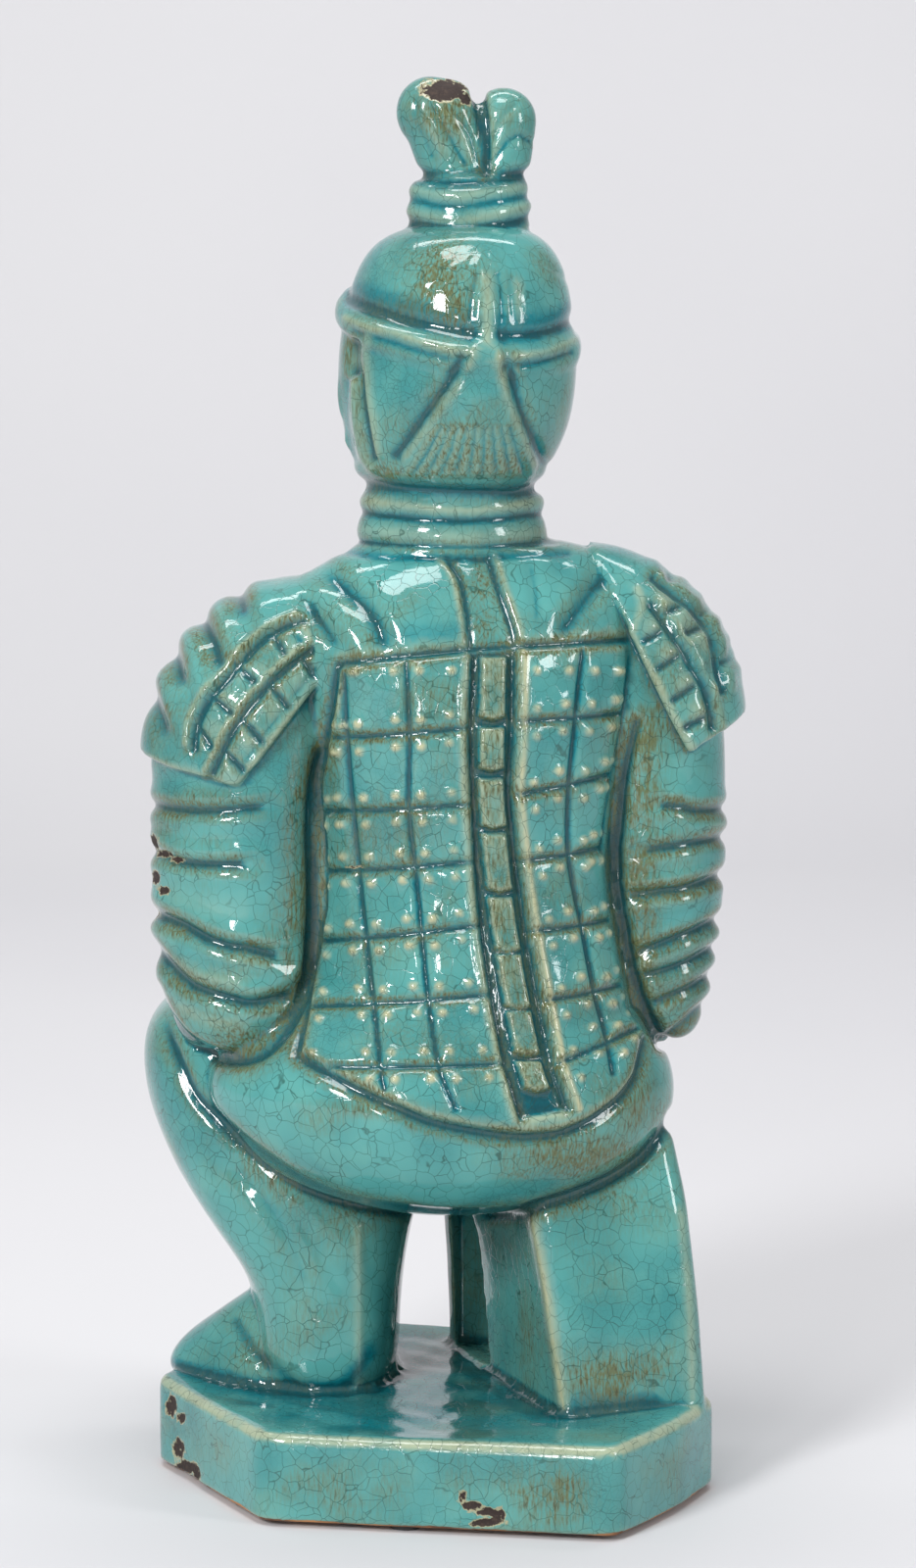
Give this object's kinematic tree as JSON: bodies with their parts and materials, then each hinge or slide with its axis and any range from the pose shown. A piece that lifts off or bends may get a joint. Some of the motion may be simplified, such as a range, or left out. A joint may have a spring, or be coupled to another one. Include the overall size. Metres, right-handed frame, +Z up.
{
  "type": "ceramic dignitary figurine",
  "caption": "Crackle-glazed ceramic figurine of a kneeling dignitary in plate armour with a topknot, cast in one piece with its six-sided plinth.",
  "frame": {"origin": "centre of the bounding box at the height of the pads' undersides", "axes": "+Z up, -Y towards the front of the plinth, +X towards the figure's left hand"},
  "size_m": [0.1944, 0.1816, 0.45],
  "materials": {
    "glaze": "glossy",
    "pad": "matte"
  },
  "bodies": {
    "root": {"figurine": "glaze", "rubber_pad_rear": "pad", "rubber_pad_front_left": "pad", "rubber_pad_front_right": "pad"}
  },
  "joints": []
}
